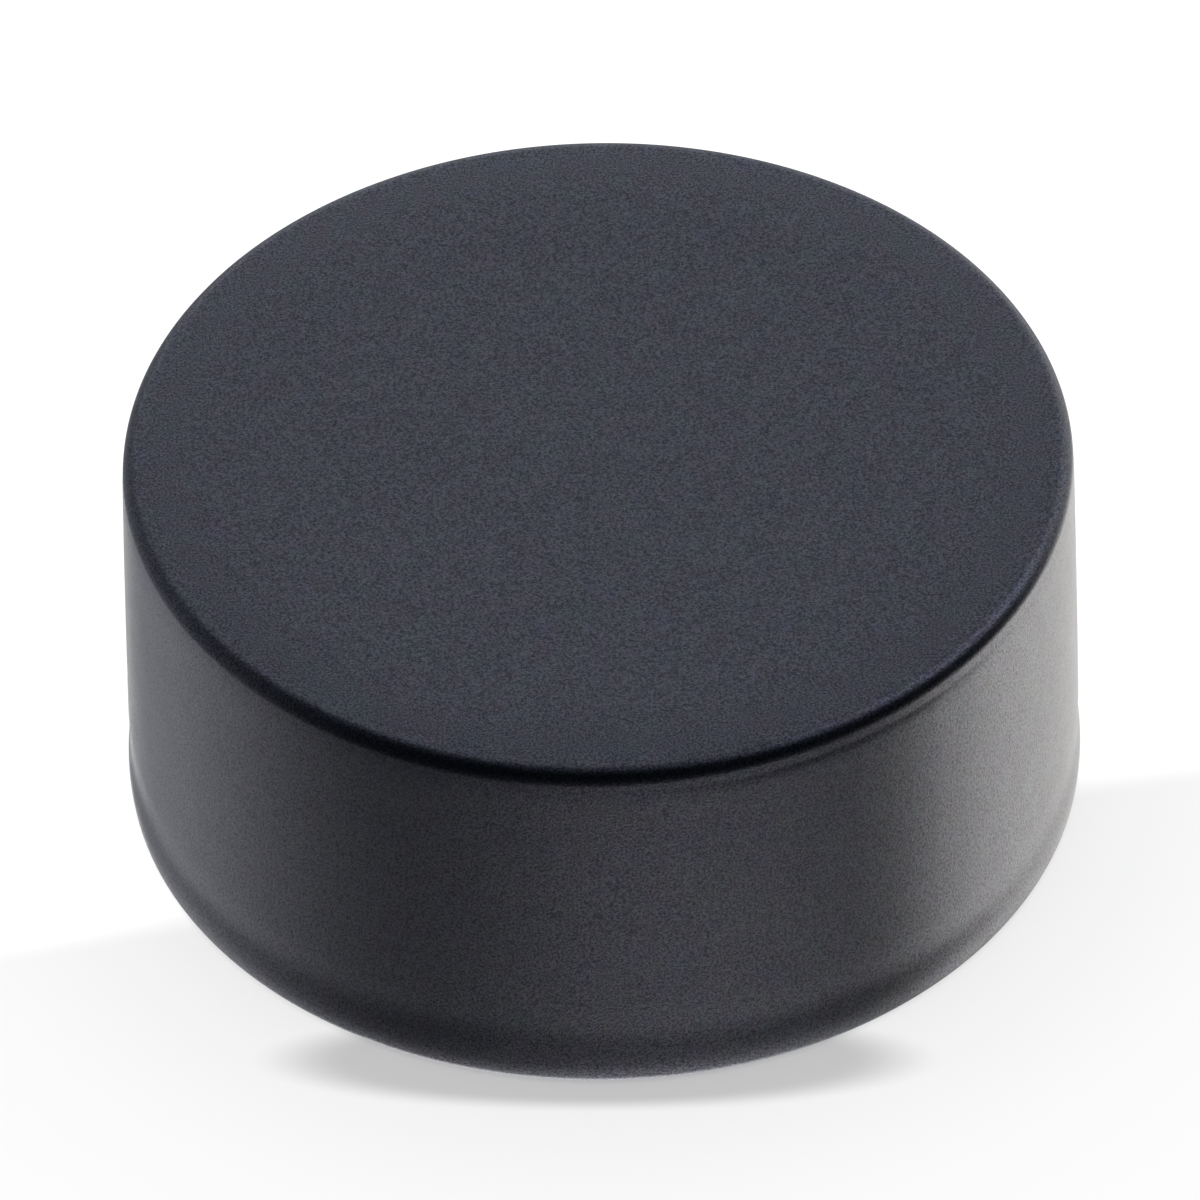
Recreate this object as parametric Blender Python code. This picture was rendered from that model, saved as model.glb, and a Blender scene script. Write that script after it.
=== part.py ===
"""Hockey puck: one solid disc of black rubber, compression moulded in a single piece.

Frame: metres, +Z up, origin at the centre of the base, so the puck stands on Z = 0.
Run with: blender --background --python part.py
"""

import math

import bmesh
import bpy
from mathutils import Vector

# Driving dimensions, in metres.
PUCK_DIAMETER = 0.0762  # 3 in across the foot bead, the widest place
PUCK_HEIGHT = 0.0332  # to the crown in the middle of the top face
TOP_ROLL = 0.0002  # how far the top face falls away from the crown towards its rim
TOP_ROLL_WIDTH = 0.0090
WALL_DRAFT = 0.00020  # the wall draws in this much, more and more towards its top
SHOULDER_DRAFT = 0.00008  # and a little faster over its last stretch below the rim
SHOULDER_DROP = 0.0050
WAIST_START = 0.0078  # height above the base where the wall starts to draw in to its waist
WAIST_HEIGHT = 0.0048  # height of the waist, the narrowest place above the foot
WAIST_DEPTH = 0.00005
FOOT_BEAD = 0.00012  # how far the bead round the base stands out beyond the wall
FOOT_BEAD_CREST = 0.0019  # height where the bead stands out farthest
FOOT_TUCK = 0.00021  # how far the bead turns in again, from its crest down to the base
TOP_ROUND = 0.00112  # radius of the top edge
BASE_ROUND = 0.00072  # radius of the bottom edge
PARTING_HEIGHT = 0.03105  # where the mould's lid closed on its cavity
PARTING_LEDGE = 0.00003  # how far the cavity's half stands out below the parting line
PARTING_LEDGE_DEPTH = 0.0009  # height over which the ledge grows, downwards

# Rubber of the puck.
RUBBER_COLOUR = (0.0030, 0.0060, 0.0100, 1.0)
RUBBER_ROUGHNESS = 0.40

# Fineness of the turned shape.
SEGMENTS = 128
ROLL_STEPS = 3
TOP_ROUND_STEPS = 5
BASE_ROUND_STEPS = 4
WALL_STEPS = 3
WAIST_STEPS = 3
BEAD_STEPS = 5
TUCK_STEPS = 3
FULL_TURN = 2.0 * math.pi
MERGE_DISTANCE = 1e-6


def clear_scene():
    for scene_object in list(bpy.data.objects):
        bpy.data.objects.remove(scene_object, do_unlink=True)


def share_between(value, start, end):
    """How far a value is from start to end, as a share from 0 to 1."""
    return min(max((value - start) / (end - start), 0.0), 1.0)


def wall_radius(height):
    """Radius of the wall at a height: its draft, the waist, the foot bead and the bead's tuck."""
    above_bead = PUCK_DIAMETER / 2 - FOOT_BEAD
    draft = WALL_DRAFT * share_between(height, WAIST_START, PUCK_HEIGHT) ** 1.5
    draft += SHOULDER_DRAFT * share_between(height, PUCK_HEIGHT - SHOULDER_DROP, PUCK_HEIGHT) ** 2
    waist_share = share_between(height, WAIST_START, WAIST_HEIGHT)
    waist = WAIST_DEPTH * (1.0 - math.cos(math.pi * waist_share)) / 2
    swell_share = share_between(height, WAIST_HEIGHT, FOOT_BEAD_CREST)
    swell = (WAIST_DEPTH + FOOT_BEAD) * (1.0 - math.cos(math.pi * swell_share)) / 2
    tuck = FOOT_TUCK * share_between(height, FOOT_BEAD_CREST, 0.0) ** 2
    return above_bead - draft - waist + swell - tuck


def rounded_edge(centre_radius, centre_height, edge_radius, start, end, steps):
    """Points of a round edge as (radius, height), its angle running from start to end."""
    points = []
    for step in range(steps + 1):
        angle = start + (end - start) * step / steps
        radius = centre_radius + edge_radius * math.cos(angle)
        height = centre_height + edge_radius * math.sin(angle)
        points.append((radius, height))
    return points


def top_face_and_edge():
    """The crowned top face and its round edge, down to the lid's skirt."""
    rim_radius = wall_radius(PUCK_HEIGHT)
    roll_start = rim_radius - TOP_ROLL_WIDTH
    round_start = rim_radius - TOP_ROUND
    round_height = PUCK_HEIGHT - TOP_ROUND
    flat = [(0.0, PUCK_HEIGHT)]
    for step in range(ROLL_STEPS):
        flat.append((roll_start + (round_start - roll_start) * step / ROLL_STEPS, PUCK_HEIGHT))
    flat += rounded_edge(
        round_start, round_height, TOP_ROUND, math.pi / 2, 0.0, TOP_ROUND_STEPS
    )
    rolled = []
    for radius, height in flat:
        drop = TOP_ROLL * share_between(radius, roll_start, rim_radius) ** 2
        drop *= share_between(height, PARTING_HEIGHT, round_height)
        rolled.append((radius, height - drop))
    return rolled


def wall():
    """The wall from the parting line down to the base's round, with its ledge, waist and bead."""
    ledge_end = PARTING_HEIGHT - PARTING_LEDGE_DEPTH
    points = [(wall_radius(PARTING_HEIGHT), PARTING_HEIGHT)]
    for step in range(WALL_STEPS):
        height = ledge_end + (WAIST_START - ledge_end) * step / WALL_STEPS
        ledge = PARTING_LEDGE * share_between(height, WAIST_START, ledge_end)
        points.append((wall_radius(height) + ledge, height))
    for step in range(WAIST_STEPS):
        height = WAIST_START + (WAIST_HEIGHT - WAIST_START) * step / WAIST_STEPS
        points.append((wall_radius(height), height))
    for step in range(BEAD_STEPS):
        height = WAIST_HEIGHT + (FOOT_BEAD_CREST - WAIST_HEIGHT) * step / BEAD_STEPS
        points.append((wall_radius(height), height))
    for step in range(TUCK_STEPS):
        height = FOOT_BEAD_CREST + (BASE_ROUND - FOOT_BEAD_CREST) * step / TUCK_STEPS
        points.append((wall_radius(height), height))
    return points


def puck_outline():
    """Half section from the centre of the top face, down the outer side, to the centre of the base."""
    outline = top_face_and_edge()
    outline += wall()
    outline += rounded_edge(
        wall_radius(BASE_ROUND) - BASE_ROUND, BASE_ROUND, BASE_ROUND,
        0.0, -math.pi / 2, BASE_ROUND_STEPS,
    )
    outline.append((0.0, 0.0))
    return outline


def rubber_material():
    material = bpy.data.materials.new("black_moulded_rubber")
    material.use_nodes = True
    shader = material.node_tree.nodes["Principled BSDF"]
    shader.inputs["Base Color"].default_value = RUBBER_COLOUR
    shader.inputs["Roughness"].default_value = RUBBER_ROUGHNESS
    shader.inputs["Metallic"].default_value = 0.0
    material.diffuse_color = RUBBER_COLOUR
    return material


def make_puck():
    """Spin the half section once round +Z into one closed solid."""
    turned = bmesh.new()
    section = [turned.verts.new((radius, 0.0, height)) for radius, height in puck_outline()]
    edges = [turned.edges.new(pair) for pair in zip(section, section[1:])]
    bmesh.ops.spin(
        turned,
        geom=section + edges,
        cent=Vector((0.0, 0.0, 0.0)),
        axis=Vector((0.0, 0.0, 1.0)),
        angle=FULL_TURN,
        steps=SEGMENTS,
        use_merge=True,
    )
    bmesh.ops.remove_doubles(turned, verts=turned.verts, dist=MERGE_DISTANCE)
    bmesh.ops.recalc_face_normals(turned, faces=turned.faces)
    mesh = bpy.data.meshes.new("puck_body")
    turned.to_mesh(mesh)
    turned.free()
    mesh.shade_smooth()
    mesh.set_sharp_from_angle(angle=math.radians(30))
    mesh.materials.append(rubber_material())
    puck = bpy.data.objects.new("puck_body", mesh)
    bpy.context.scene.collection.objects.link(puck)
    return puck


clear_scene()
make_puck()
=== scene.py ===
import math

import bmesh
import bpy
from mathutils import Euler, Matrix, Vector, noise


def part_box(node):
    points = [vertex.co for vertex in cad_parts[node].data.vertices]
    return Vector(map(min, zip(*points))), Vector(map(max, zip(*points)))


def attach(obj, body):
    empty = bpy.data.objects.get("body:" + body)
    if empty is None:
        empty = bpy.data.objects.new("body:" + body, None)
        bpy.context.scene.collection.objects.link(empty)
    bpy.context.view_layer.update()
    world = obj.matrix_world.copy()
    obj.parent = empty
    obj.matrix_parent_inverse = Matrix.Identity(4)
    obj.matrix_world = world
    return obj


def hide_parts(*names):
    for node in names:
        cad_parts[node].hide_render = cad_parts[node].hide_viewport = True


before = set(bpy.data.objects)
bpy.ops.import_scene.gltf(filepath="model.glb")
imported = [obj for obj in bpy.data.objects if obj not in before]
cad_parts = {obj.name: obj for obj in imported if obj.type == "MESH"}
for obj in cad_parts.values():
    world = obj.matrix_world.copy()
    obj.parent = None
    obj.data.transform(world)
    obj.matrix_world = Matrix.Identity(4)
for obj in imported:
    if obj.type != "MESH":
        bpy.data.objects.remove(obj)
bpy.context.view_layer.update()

# ---------------------------------------------------------------------------------------------------
# The puck: one disc of vulcanised natural rubber, pressed and cured in a two-part steel mould.
# The mould's lid forms the top face, its round and a short skirt, and its cavity forms the wall, the
# foot bead and the base. A fine witness ledge is left where the two halves closed least tightly.
# ---------------------------------------------------------------------------------------------------

MM = 0.001
puck_low, puck_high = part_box("puck_body")
puck_radius = (puck_high.x - puck_low.x) / 2
puck_height = puck_high.z

wall_draft = 0.20 * MM  # the wall draws in this much, more and more towards its top
shoulder_drop = 5.0 * MM  # and a little faster over its last stretch below the rim
shoulder_draft = 0.08 * MM
waist_start = 7.8 * MM  # above the foot the wall draws in to a slight waist
waist_height = 4.8 * MM
waist_depth = 0.05 * MM
foot_bead = 0.12 * MM  # how far the bead round the base stands out beyond the wall
foot_bead_crest = 1.9 * MM
foot_tuck = 0.21 * MM  # how far the bead turns in again, down to the base
soft_bead_azimuth = math.radians(-102)  # on one side the wall flares out to it more gently
soft_bead_spread = math.radians(38)
soft_bead_share = 0.85  # how much of the bead's rise is spread over the longer flare there
top_round = 1.12 * MM
base_round = 0.72 * MM

roll_width = 9.0 * MM  # rubber shrinks as it cools, so the top face falls away towards its rim
roll_drop = 0.20 * MM
skirt_top = puck_height - top_round

parting = 31.05 * MM  # the lid closed on the cavity at this height
witness_ledge = 0.085 * MM  # how far the cavity's half stands out below it
witness_step = 0.9 * MM
witness_tuck = 0.02 * MM  # how far the lid's skirt draws in above it
witness_azimuth = math.radians(-54)  # it shows on one side only
witness_spread = math.radians(22)
witness_patch = 1.8 * MM  # there it comes and goes over this distance
witness_fade = 0.6  # and loses this share of itself at its weakest

unevenness = 0.006 * MM  # the faint waves of a cured face
unevenness_spacing = 9 * MM

nick_place = Vector((-0.5, -0.866, 0.0)) * puck_radius  # a small nick in the bottom edge
nick_reach = 0.9 * MM
nick_depth = 0.25 * MM

spin_steps = 360
round_steps = 10
coarse_ring = 1.2 * MM  # spacing of the rings on the flat and straight stretches
fine_ring = 0.2 * MM  # and where the surface curves
merge_distance = 0.001 * MM


def share_between(value, start, end):
    """How far a value is from start to end, as a share from 0 to 1."""
    return min(max((value - start) / (end - start), 0.0), 1.0)


def eased(share):
    """A share from 0 to 1, slow at both of its ends."""
    return (1.0 - math.cos(math.pi * share)) / 2


def wall_radius(height):
    """Radius of the drafted wall at a height, without the waist and the foot bead."""
    draft = wall_draft * share_between(height, waist_start, puck_height) ** 1.5
    draft += shoulder_draft * share_between(height, puck_height - shoulder_drop, puck_height) ** 2
    return puck_radius - foot_bead - draft


# The half section, from the centre of the top face round to the centre of the base, with more rings
# where the surface curves.
rubber = bmesh.new()
roll_start = wall_radius(puck_height) - roll_width
wall_heights = (
    puck_height, parting, parting - witness_step, 0.75 * parting, 0.5 * parting, waist_start, 0.0,
)
corners = (
    (0.0, puck_height),
    (roll_start, puck_height),
    *[(wall_radius(height), height) for height in wall_heights],
    (0.0, 0.0),
)
section = [rubber.verts.new((radius, 0.0, height)) for radius, height in corners]
for pair in zip(section, section[1:]):
    rubber.edges.new(pair)
for corner, radius in ((section[2], top_round), (section[-2], base_round)):
    bmesh.ops.bevel(
        rubber, geom=[corner], offset=radius, offset_type="OFFSET", affect="VERTICES",
        segments=round_steps, profile=0.5, material=-1,
    )
for side in rubber.edges[:]:
    middle = (side.verts[0].co + side.verts[1].co) / 2
    if middle.x > roll_start and not waist_start < middle.z < parting - witness_step:
        spacing = fine_ring
    else:
        spacing = coarse_ring
    cuts = int(side.calc_length() / spacing)
    if cuts:
        bmesh.ops.subdivide_edges(rubber, edges=[side], cuts=cuts)

bmesh.ops.spin(
    rubber, geom=rubber.verts[:] + rubber.edges[:], cent=Vector(), axis=Vector((0.0, 0.0, 1.0)),
    angle=2 * math.pi, steps=spin_steps, use_merge=True,
)
bmesh.ops.remove_doubles(rubber, verts=rubber.verts, dist=merge_distance)
bmesh.ops.recalc_face_normals(rubber, faces=rubber.faces)

# What the mould and the cure leave: the roll of the top face, the witness ledge, the waist, the foot
# bead, a faint unevenness and the nick.
for vert in rubber.verts:
    outward = Vector((vert.co.x, vert.co.y, 0.0))
    radius = outward.length
    height = vert.co.z
    if radius == 0.0:
        continue
    outward /= radius
    roll = share_between(radius, roll_start, wall_radius(puck_height))
    vert.co.z -= roll_drop * roll**2 * share_between(height, parting, skirt_top)
    if waist_start < height < skirt_top:
        away = (math.atan2(outward.y, outward.x) - witness_azimuth) / witness_spread
        patchy = 0.5 + 0.5 * noise.noise(outward * puck_radius / witness_patch)
        strength = math.exp(-(away**2)) * (1.0 - witness_fade * patchy)
        ledge = 1.0 - share_between(height, parting - witness_step, parting) ** 2
        ledge *= share_between(height, waist_start, parting - witness_step)
        skirt = share_between(height, skirt_top, parting)
        skirt *= share_between(height, parting - witness_step, parting)
        vert.co += outward * strength * (witness_ledge * ledge - witness_tuck * skirt)
    if radius > puck_radius / 2 and height < waist_start:
        away = (math.atan2(outward.y, outward.x) - soft_bead_azimuth) / soft_bead_spread
        softness = soft_bead_share * math.exp(-(away**2))
        swell = (1.0 - softness) * eased(share_between(height, waist_height, foot_bead_crest))
        swell += softness * eased(share_between(height, waist_start, foot_bead_crest))
        tuck = share_between(height, foot_bead_crest, 0.0)
        vert.co -= outward * waist_depth * eased(share_between(height, waist_start, waist_height))
        vert.co += outward * (waist_depth + foot_bead) * swell
        vert.co -= outward * foot_tuck * tuck**2
    if height > base_round:
        vert.co += outward * unevenness * noise.noise(vert.co / unevenness_spacing)
    nick = share_between((vert.co - nick_place).length, nick_reach, 0.0)
    vert.co -= outward * nick_depth * nick**2

mesh = bpy.data.meshes.new("moulded_puck")
rubber.to_mesh(mesh)
rubber.free()
mesh.shade_smooth()
puck = bpy.data.objects.new("moulded_puck", mesh)
bpy.context.scene.collection.objects.link(puck)


def linear(hex_colour):
    """An sRGB hex colour as linear RGBA."""
    shares = [int(hex_colour[place:place + 2], 16) / 255 for place in (1, 3, 5)]
    return [s / 12.92 if s <= 0.04045 else ((s + 0.055) / 1.055) ** 2.4 for s in shares] + [1.0]


def add(tree, kind, inputs=None, **settings):
    """Adds a node with its settings, and fills its sockets with values or with other nodes' outputs."""
    node = tree.nodes.new(kind)
    for name, setting in settings.items():
        setattr(node, name, setting)
    for socket, value in (inputs or {}).items():
        if isinstance(value, bpy.types.NodeSocket):
            tree.links.new(value, node.inputs[socket])
        else:
            node.inputs[socket].default_value = value
    return node


# Vulcanised rubber, moulded against blasted steel: carbon black drinks nearly all the light that
# enters, so what the eye sees is the satin skin, which reflects a faint violet blue. The steel leaves
# a grain of tiny pits, some a little duller and some a little shinier, and hardly rough to the touch.
skin_tint = (0.80, 0.79, 1.0)
hue_contrast = 0.45
bloom_size = 2.4 * MM
satin = 0.40
satin_spread = 0.03
pit_size = 0.18 * MM
dullest_pit = 0.25
shiniest_pit = 0.91
grain_size = 0.17 * MM
grain_depth = 0.020 * MM

rubber_finish = bpy.data.materials.new("vulcanised_rubber_moulded")
rubber_finish.use_nodes = True
rubber_tree = rubber_finish.node_tree
skin = rubber_tree.nodes["Principled BSDF"]
skin.inputs["Base Color"].default_value = linear("#0a121a")
skin.inputs["IOR"].default_value = 1.5
place = add(rubber_tree, "ShaderNodeTexCoord").outputs["Object"]
bloom = add(rubber_tree, "ShaderNodeTexNoise", {
    "Vector": place, "Scale": 1 / bloom_size, "Detail": 4.0, "Roughness": 0.7,
})
hue = add(rubber_tree, "ShaderNodeVectorMath", {
    0: bloom.outputs["Color"], 1: [hue_contrast] * 3, 2: [t - hue_contrast / 2 for t in skin_tint],
}, operation="MULTIPLY_ADD")
sheen = add(rubber_tree, "ShaderNodeMapRange", {
    "Value": bloom.outputs["Fac"], "From Min": 0.3, "From Max": 0.7,
    "To Min": satin - satin_spread / 2, "To Max": satin + satin_spread / 2,
})
pits = add(rubber_tree, "ShaderNodeTexNoise", {
    "Vector": place, "Scale": 1 / pit_size, "Detail": 1.0, "Roughness": 0.7,
})
shine = add(rubber_tree, "ShaderNodeMapRange", {
    "Value": pits.outputs["Fac"], "From Min": 0.35, "From Max": 0.65,
    "To Min": dullest_pit, "To Max": shiniest_pit,
})
grain = add(rubber_tree, "ShaderNodeTexNoise", {
    "Vector": place, "Scale": 1 / grain_size, "Detail": 1.0, "Roughness": 0.5,
})
grained = add(rubber_tree, "ShaderNodeBump", {
    "Height": grain.outputs["Fac"], "Strength": 1.0, "Distance": grain_depth,
})
rubber_tree.links.new(hue.outputs["Vector"], skin.inputs["Specular Tint"])
rubber_tree.links.new(sheen.outputs["Result"], skin.inputs["Roughness"])
rubber_tree.links.new(shine.outputs["Result"], skin.inputs["Specular IOR Level"])
rubber_tree.links.new(grained.outputs["Normal"], skin.inputs["Normal"])
mesh.materials.append(rubber_finish)

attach(puck, "root")
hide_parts("puck_body")

# ---------------------------------------------------------------------------------------------------
# The studio floor: a pale matt board that turns white beyond a soft slanting line. One wide shadowless
# lamp lights it evenly, and a flat soft pool of shade is painted on it below the puck's front edge. It
# isn't seen in the rubber.
# ---------------------------------------------------------------------------------------------------

floor_half_width = 3.0
floor_gap = 0.02 * MM

board = bmesh.new()
bmesh.ops.create_grid(board, x_segments=1, y_segments=1, size=floor_half_width)
bmesh.ops.translate(board, verts=board.verts, vec=(0.0, 0.0, -floor_gap))
floor_mesh = bpy.data.meshes.new("studio_floor")
board.to_mesh(floor_mesh)
board.free()
floor = bpy.data.objects.new("studio_floor", floor_mesh)
bpy.context.scene.collection.objects.link(floor)
floor.visible_glossy = False

# Matt board: the eye sees a flat pale grey in front and white behind, and a darker grey in the shade.
sweep_turn = math.radians(10.75)
sweep_line = -11.3 * MM  # where the board turns white, measured back from the puck's middle
sweep_softness = 2.0 * MM
shade_middle = (-1.2 * MM, -35.1 * MM, 0.0)
shade_reach = (28.0 * MM, 6.15 * MM, 1.0)
shade_turn = math.radians(-1.8)
shade_core = 0.70  # share of the reach where the pool is at its full depth

board_finish = bpy.data.materials.new("matt_board")
board_finish.use_nodes = True
board_tree = board_finish.node_tree
paper = board_tree.nodes["Principled BSDF"]
paper.inputs["Roughness"].default_value = 1.0
paper.inputs["Specular IOR Level"].default_value = 0.0
place = add(board_tree, "ShaderNodeTexCoord").outputs["Object"]
backwards = add(board_tree, "ShaderNodeVectorMath", {
    0: place, 1: Vector((-math.sin(sweep_turn), math.cos(sweep_turn), 0.0)),
}, operation="DOT_PRODUCT")
whiteness = add(board_tree, "ShaderNodeMapRange", {
    "Value": backwards.outputs["Value"], "From Min": sweep_line - sweep_softness,
    "From Max": sweep_line + sweep_softness,
}, interpolation_type="SMOOTHSTEP")
sweep = add(board_tree, "ShaderNodeMix", {
    "Factor": whiteness.outputs["Result"], 6: linear("#e8e8e8"), 7: linear("#fdfdfd"),
}, data_type="RGBA")
across_shade = add(board_tree, "ShaderNodeMapping", {
    "Vector": place, "Location": shade_middle, "Rotation": (0.0, 0.0, shade_turn),
    "Scale": shade_reach,
}, vector_type="TEXTURE")
from_middle = add(board_tree, "ShaderNodeVectorMath", {
    0: across_shade.outputs["Vector"],
}, operation="LENGTH")
shaded = add(board_tree, "ShaderNodeMapRange", {
    "Value": from_middle.outputs["Value"], "From Min": 1.0, "From Max": shade_core,
}, interpolation_type="SMOOTHSTEP")
board_colour = add(board_tree, "ShaderNodeMix", {
    "Factor": shaded.outputs["Result"], 6: sweep.outputs[2], 7: linear("#bdbdbe"),
}, data_type="RGBA")
board_tree.links.new(board_colour.outputs[2], paper.inputs["Base Color"])
floor_mesh.materials.append(board_finish)

ceiling = bpy.data.lights.new("ceiling_fill", "SUN")
ceiling.angle = math.radians(110)
ceiling.energy = 1.21 * math.pi
ceiling.use_shadow = False
ceiling_holder = bpy.data.objects.new("ceiling_fill", ceiling)
bpy.context.scene.collection.objects.link(ceiling_holder)
floor_only = bpy.data.collections.new("floor_only")
floor_only.objects.link(floor)
ceiling_holder.light_linking.receiver_collection = floor_only

# ---------------------------------------------------------------------------------------------------
# The studio round the puck: softboxes behind it, a bright sweep to its right, and white table tops low
# down on every side, with darkness overhead and behind the camera. Each panel is a soft disc on the
# far surroundings, seen only in the rubber.
# ---------------------------------------------------------------------------------------------------

room_fill = 0.02  # what the rubber's own body and the board get from the room
white = linear("#ffffff")
cool = linear("#f2f6ff")
warm = linear("#fffdf7")
panels = {
    # azimuth and elevation of its middle, half width of its soft edge and of its full core, brightness
    "left_wash": (130, -6, 84, 12, 0.70, cool),
    "front_table": (-117, -86, 32, 3, 3.22, white),
    "right_sweep": (37, -31, 16, 14, 2.40, warm),
    "high_softbox": (33, 53, 27, 20, 2.64, cool),
    "back_right_table": (65, -43, 16, 12, 2.00, warm),
    "right_table": (14, -44, 18, 7, 3.98, warm),
    "left_table": (151, -67, 35, 7, 1.25, white),
    "back_softbox": (96, 26, 25, 8, 1.56, cool),
    "back_right_sweep": (52, 6, 37, 11, 1.63, white),
    "front_right_table": (-62, -66, 35, 15, 1.45, white),
    "back_table": (100, -49, 10, 6, 4.14, warm),
    "front_room": (-94, -18, 34, 8, 0.08, cool),
}

studio = bpy.data.worlds.new("soft_studio")
studio.use_nodes = True
studio.cycles.sampling_method = "NONE"
bpy.context.scene.world = studio
studio_tree = studio.node_tree
studio_tree.nodes.clear()
direction = add(studio_tree, "ShaderNodeTexCoord").outputs["Generated"]
lit = (0.0, 0.0, 0.0)
for name, (azimuth, elevation, edge, core, brightness, colour) in panels.items():
    axis = Euler((0.0, math.radians(-elevation), math.radians(azimuth))).to_matrix() @ Vector((1, 0, 0))
    facing = add(studio_tree, "ShaderNodeVectorMath", {0: direction, 1: axis}, operation="DOT_PRODUCT")
    glow = add(studio_tree, "ShaderNodeMapRange", {
        "Value": facing.outputs["Value"], "From Min": math.cos(math.radians(edge)),
        "From Max": math.cos(math.radians(core)), "To Min": 0.0, "To Max": brightness,
    }, interpolation_type="SMOOTHSTEP", label=name)
    lit = add(studio_tree, "ShaderNodeVectorMath", {
        0: glow.outputs["Result"], 1: colour[:3], 2: lit,
    }, operation="MULTIPLY_ADD").outputs["Vector"]
rays = add(studio_tree, "ShaderNodeLightPath")
seen = add(studio_tree, "ShaderNodeMix", {
    "Factor": rays.outputs["Is Glossy Ray"], 6: [room_fill] * 3 + [1.0], 7: lit,
}, data_type="RGBA")
backdrop = add(studio_tree, "ShaderNodeMix", {
    "Factor": rays.outputs["Is Camera Ray"], 6: seen.outputs[2], 7: white,
}, data_type="RGBA")
shade = add(studio_tree, "ShaderNodeBackground", {"Color": backdrop.outputs[2]})
add(studio_tree, "ShaderNodeOutputWorld", {"Surface": shade.outputs["Background"]})

# ---------------------------------------------------------------------------------------------------
# The camera: a very long lens some way off, so that the puck is drawn nearly without perspective,
# looking down on its front with a slight tilt.
# ---------------------------------------------------------------------------------------------------

lens_length = 852.5
camera_distance = 2.2654
camera_elevation = math.radians(42.531)
camera_roll = math.radians(-1.3134)
aim = Vector((-0.09 * MM, 0.0, 17.17 * MM))

lens = bpy.data.cameras.new("studio_camera")
lens.lens = lens_length
lens.sensor_width = 36.0
lens.clip_start = 0.1
lens.clip_end = 20.0
camera = bpy.data.objects.new("studio_camera", lens)
bpy.context.scene.collection.objects.link(camera)
towards = Vector((0.0, -math.cos(camera_elevation), math.sin(camera_elevation)))
camera.location = aim + towards * camera_distance
level = Euler((math.pi / 2 - camera_elevation, 0.0, 0.0)).to_matrix()
camera.rotation_euler = (level @ Euler((0.0, 0.0, camera_roll)).to_matrix()).to_euler()
bpy.context.scene.camera = camera
bpy.context.scene.view_settings.view_transform = "Standard"
